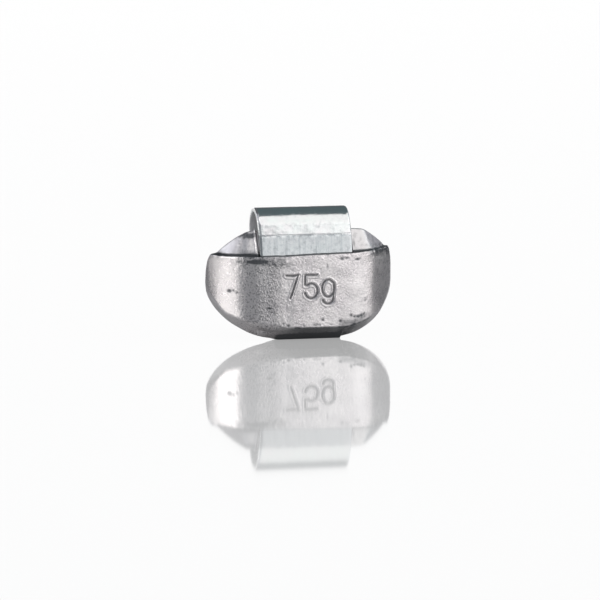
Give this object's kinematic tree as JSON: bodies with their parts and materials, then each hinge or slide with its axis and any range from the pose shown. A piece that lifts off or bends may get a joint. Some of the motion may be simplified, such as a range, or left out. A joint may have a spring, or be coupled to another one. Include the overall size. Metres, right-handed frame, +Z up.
{
  "type": "wheel balance weight",
  "caption": "Knock-on wheel balance weight: a boat-shaped cast lead body with a spring steel clip cast into it that grips the edge of a wheel rim.",
  "frame": {"origin": "middle of the bounding box, on the surface that the weight stands on", "axes": "+X along the wheel rim, -Y out of the marked front face, +Z up to the clip"},
  "size_m": [0.0432, 0.012, 0.0301],
  "materials": {
    "lead": "as-cast lead, satin, slightly grained",
    "zinc_steel": "bright zinc plating"
  },
  "bodies": {
    "root": {"cast_body": "lead", "rim_clip": "zinc_steel"}
  },
  "joints": []
}
